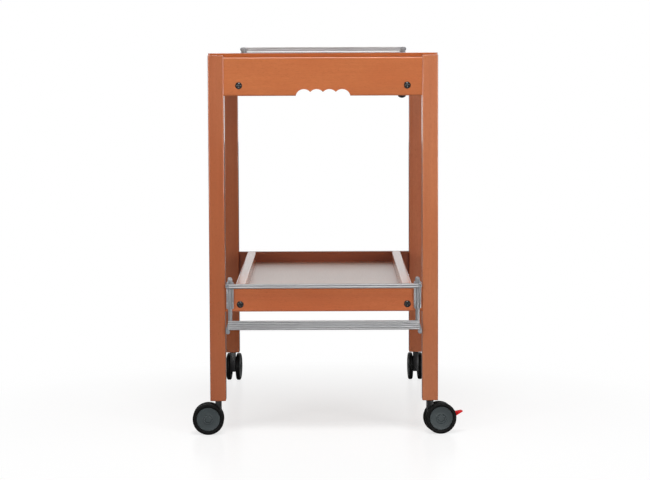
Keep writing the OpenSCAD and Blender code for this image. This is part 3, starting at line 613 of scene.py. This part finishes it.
def bolt_rings():
    """Rows of (radius, how far out, 1 where the ring is a hexagon and 0 where it is a circle)."""
    lip = SOCKET_LIP_R
    rings = [
        (0, SOCKET_FLOOR, 1),
        (SOCKET_FLAT_R * 0.98, SOCKET_FLOOR, 1),
        (SOCKET_FLAT_R, SOCKET_FLOOR + 0.0001, 1),
        (SOCKET_FLAT_R, dome(lip) - 0.0012, 1),
        (SOCKET_FLAT_R + 0.0001, dome(lip) - 0.0011, 0.95),
        (lip - 0.0002, dome(lip) - 0.0001, 0),
        (lip, dome(lip), 0),
    ]
    for radius in np.linspace(lip + 0.0003, BOLT_HEAD_R - 0.0004, 10):
        rings.append((radius, dome(radius), 0))
    rings += [
        (BOLT_HEAD_R - 0.0001, 0.0003, 0),
        (BOLT_HEAD_R, 0.0001, 0),
        (BOLT_HEAD_R - 0.0002, 0, 0),
        (SHANK_R, 0, 0),
        (SHANK_R, TIP_START, 0),
        (TIP_R, SHANK_END, 0),
        (0, SHANK_END, 0),
    ]
    return np.array(rings)


def bolt_points(place, out, turns=48):
    """A ring's point is its radius round the bolt's axis, stretched to a hexagon in the socket."""
    rings = bolt_rings()
    angle = np.linspace(0, 2 * np.pi, turns, endpoint=False)
    corner = 1 / np.cos((angle + np.pi / 6) % (np.pi / 3) - np.pi / 6)
    stretch = 1 + rings[:, 2:] * (corner[None] - 1)
    radius = rings[:, :1] * stretch
    depth = np.broadcast_to(place[1] + out * rings[:, 1:2], radius.shape)
    across, height = place[0] + radius * np.cos(angle), place[2] + radius * np.sin(angle)
    return np.stack([across, depth, height], -1)


def bolts_object(name, places):
    """All the bolts as one object, each a grid of rings by turns."""
    points, faces = [], []
    for place, out in places:
        grid = bolt_points(place, out)
        faces.append(wrapped_quads(*grid.shape[:2]) + sum(len(p) for p in points))
        points.append(grid.reshape(-1, 3))
    return mesh_object(name, np.concatenate(points), np.concatenate(faces))


rail_xs = [sum(corner.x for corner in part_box(side + "_top_rail")) / 2 for side in ("left", "right")]
bolt_zs = (
    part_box("front_apron")[0].z + APRON_BOLT_UP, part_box("front_tray_rail")[0].z + TRAY_BOLT_UP
)
ends = ((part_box("front_apron")[0].y, -1), (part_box("rear_apron")[1].y, 1))
bolt_places = [((x, y, z), out) for x in rail_xs for z in bolt_zs for y, out in ends]
bolts = bolts_object("domed_bolts", bolt_places)
bolts.data.materials.append(black_steel)
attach(bolts, body_of["frame_bolts"])
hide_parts("frame_bolts")
print("made", len(bolt_places), "bolts")

# %% Make the knob
knob_low, knob_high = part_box("rail_knob")
rail_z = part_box("right_top_rail")[0].z
knob_r = (knob_high.x - knob_low.x) / 2
bowl_r = 1.3 * knob_r
STUD_R = 0.0025
NECK_R = 0.0055
knob_profile = np.concatenate([
    arc((0, knob_low.z + bowl_r), bowl_r, -90, -46, 14),
    arc((knob_r - 0.003, knob_low.z + 0.0053), 0.003, -38, 0, 6),
    arc((knob_r - 0.0016, knob_low.z + 0.0074), 0.0016, 0, 85, 6),
    [(NECK_R + 0.0007, knob_low.z + 0.0091), (NECK_R + 0.0001, knob_low.z + 0.0098),
     (NECK_R, rail_z), (STUD_R, rail_z), (STUD_R, knob_high.z), (0, knob_high.z)],
])
knob_centre = ((knob_low.x + knob_high.x) / 2, (knob_low.y + knob_high.y) / 2, 0)
knob = turned("round_knob", knob_profile, knob_centre, axle=(0, 0, 1))
knob.data.materials.append(black_plastic)
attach(knob, body_of["rail_knob"])
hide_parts("rail_knob")
print("the knob is", round(2000 * knob_r, 1), "mm across")

# %% [markdown]
# ## The studio
#
# The trolley stands on a pale floor in a white room. The floor is a large disc that takes the
# trolley's soft shadow and, near the trolley, a faint mirror image of its wheels. What the
# camera sees of the floor is whiter than what lights the trolley from below. Further away the
# floor glows in plain white, so that it runs into the white behind it without an edge. Both the
# glow and the mirror image change with the distance from a point below the trolley.

# %% Floor
FLOOR_GLOW = 0.60
FLOOR_SEEN = 1.75
FLOOR_LIT = 0.45
FLOOR_SHEEN = 0.08
FLOOR_ROUGH = 0.22
FLOOR_RADIUS = 14.0
GLOW_CENTRE = (0, -0.2, 0)
GLOW_NEAR, GLOW_FAR = 0.1, 0.9
SHEEN_NEAR, SHEEN_FAR = 0.5, 1.1


def disc(name, radius, rings, turns):
    """A flat disc: a point is at radius * ring fraction, turned by the turn fraction of a circle."""
    turn = np.linspace(0, 2 * np.pi, turns, endpoint=False)
    across, turn = np.meshgrid(np.linspace(0, radius, rings), turn)
    points = np.stack([across * np.cos(turn), across * np.sin(turn), np.zeros_like(across)], -1)
    faces = []
    for i in range(turns):
        for j in range(rings - 1):
            a = i * rings + j
            b = ((i + 1) % turns) * rings + j
            faces.append((a, a + 1, b + 1, b))
    mesh = bpy.data.meshes.new(name)
    mesh.from_pydata(points.reshape(-1, 3).tolist(), [], faces)
    return linked(name, mesh)


floor = disc("floor", FLOOR_RADIUS, rings=3, turns=64)
floor_material, floor_tree, floor_shader = new_material("pale_floor")
to_camera = add(floor_tree, "ShaderNodeLightPath").outputs["Is Camera Ray"]
diffuse = add(
    floor_tree, "ShaderNodeBsdfDiffuse",
    {"Color": mixed(floor_tree, to_camera, [FLOOR_LIT] * 3, [FLOOR_SEEN] * 3)},
)
white = add(floor_tree, "ShaderNodeEmission", {"Color": (1, 1, 1, 1), "Strength": 1.0})
floor_place = add(floor_tree, "ShaderNodeTexCoord").outputs["Object"]
distance = add(
    floor_tree, "ShaderNodeVectorMath", {0: floor_place, 1: GLOW_CENTRE}, operation="DISTANCE"
).outputs["Value"]
far = ramp(floor_tree, distance, GLOW_NEAR, GLOW_FAR, FLOOR_GLOW, 1.0)
sheen = ramp(floor_tree, distance, SHEEN_NEAR, SHEEN_FAR, FLOOR_SHEEN, 0.0)
glow = add(floor_tree, "ShaderNodeMath", {0: far, 1: to_camera}, operation="MULTIPLY")
glowing = add(
    floor_tree, "ShaderNodeMixShader",
    {0: glow.outputs[0], 1: diffuse.outputs[0], 2: white.outputs[0]},
)
shine = add(floor_tree, "ShaderNodeBsdfGlossy", {"Roughness": FLOOR_ROUGH})
polished = add(
    floor_tree, "ShaderNodeMixShader", {0: sheen, 1: glowing.outputs[0], 2: shine.outputs[0]}
)
floor_tree.links.new(polished.outputs[0], floor_tree.nodes["Material Output"].inputs["Surface"])
floor.data.materials.append(floor_material)
print("the floor glows by", FLOOR_GLOW, "near the trolley")

# %% [markdown]
# The world is white to the camera. As a light, and in reflections, it is white behind the
# trolley and darker in front of it. Two large lamps stand low in front, one on each side and
# the right one a little stronger. Their beams are narrow and aim at the apron, so the legs grow
# darker towards their feet, and the front rod's shadow hides behind the rod. A smaller lamp
# overhead draws the light line along the apron's upper edge and the spots on the bolts.

# %% Room and lamps
ROOM_LIGHT = 0.60
ROOM_FRONT = 0.30
ROOM_BACK = 1.0

world = bpy.data.worlds.new("room")
bpy.context.scene.world = world
world.use_nodes = True
room = world.node_tree
path = add(room, "ShaderNodeLightPath")
direction = add(room, "ShaderNodeTexCoord").outputs["Generated"]
towards = add(room, "ShaderNodeSeparateXYZ", {0: direction})
shaded = ramp(room, towards.outputs["Y"], 0.25, 0.8, ROOM_FRONT, ROOM_BACK)
share = add(
    room, "ShaderNodeMix",
    {0: path.outputs["Is Glossy Ray"], 2: ROOM_LIGHT, 3: 1.0}, data_type="FLOAT",
)
lit = add(room, "ShaderNodeMath", {0: shaded, 1: share.outputs[0]}, operation="MULTIPLY")
seen = add(
    room, "ShaderNodeMix",
    {0: path.outputs["Is Camera Ray"], 2: lit.outputs[0], 3: 1.0}, data_type="FLOAT",
)
background = room.nodes["Background"]
background.inputs["Color"].default_value = (1, 1, 1, 1)
room.links.new(seen.outputs[0], background.inputs["Strength"])


def lamp(name, place, target, size, power, spread=180):
    """A square lamp that faces its target; power is in watts, the beam's spread in degrees."""
    data = bpy.data.lights.new(name, "AREA")
    data.shape = "SQUARE"
    data.size = size
    data.energy = power
    data.spread = math.radians(spread)
    made = linked(name, data)
    aim = (Vector(target) - Vector(place)).to_track_quat("-Z", "Y")
    made.matrix_world = Matrix.Translation(place) @ aim.to_matrix().to_4x4()
    return made


lamps = [
    lamp("left_lamp", (-1.6, -2.7, 0.75), (0, -0.4, 0.85), 0.9, 4.4, 70),
    lamp("right_lamp", (1.6, -2.7, 0.75), (0, -0.4, 0.85), 0.9, 5.4, 70),
    lamp("top_lamp", (0, -1.5, 2.7), (0, -0.5, 0.6), 0.8, 24),
]
print("lamps:", [made.name for made in lamps])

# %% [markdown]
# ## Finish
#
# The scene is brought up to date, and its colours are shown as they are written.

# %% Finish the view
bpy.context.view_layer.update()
scene = bpy.context.scene
scene.view_settings.view_transform = "Standard"
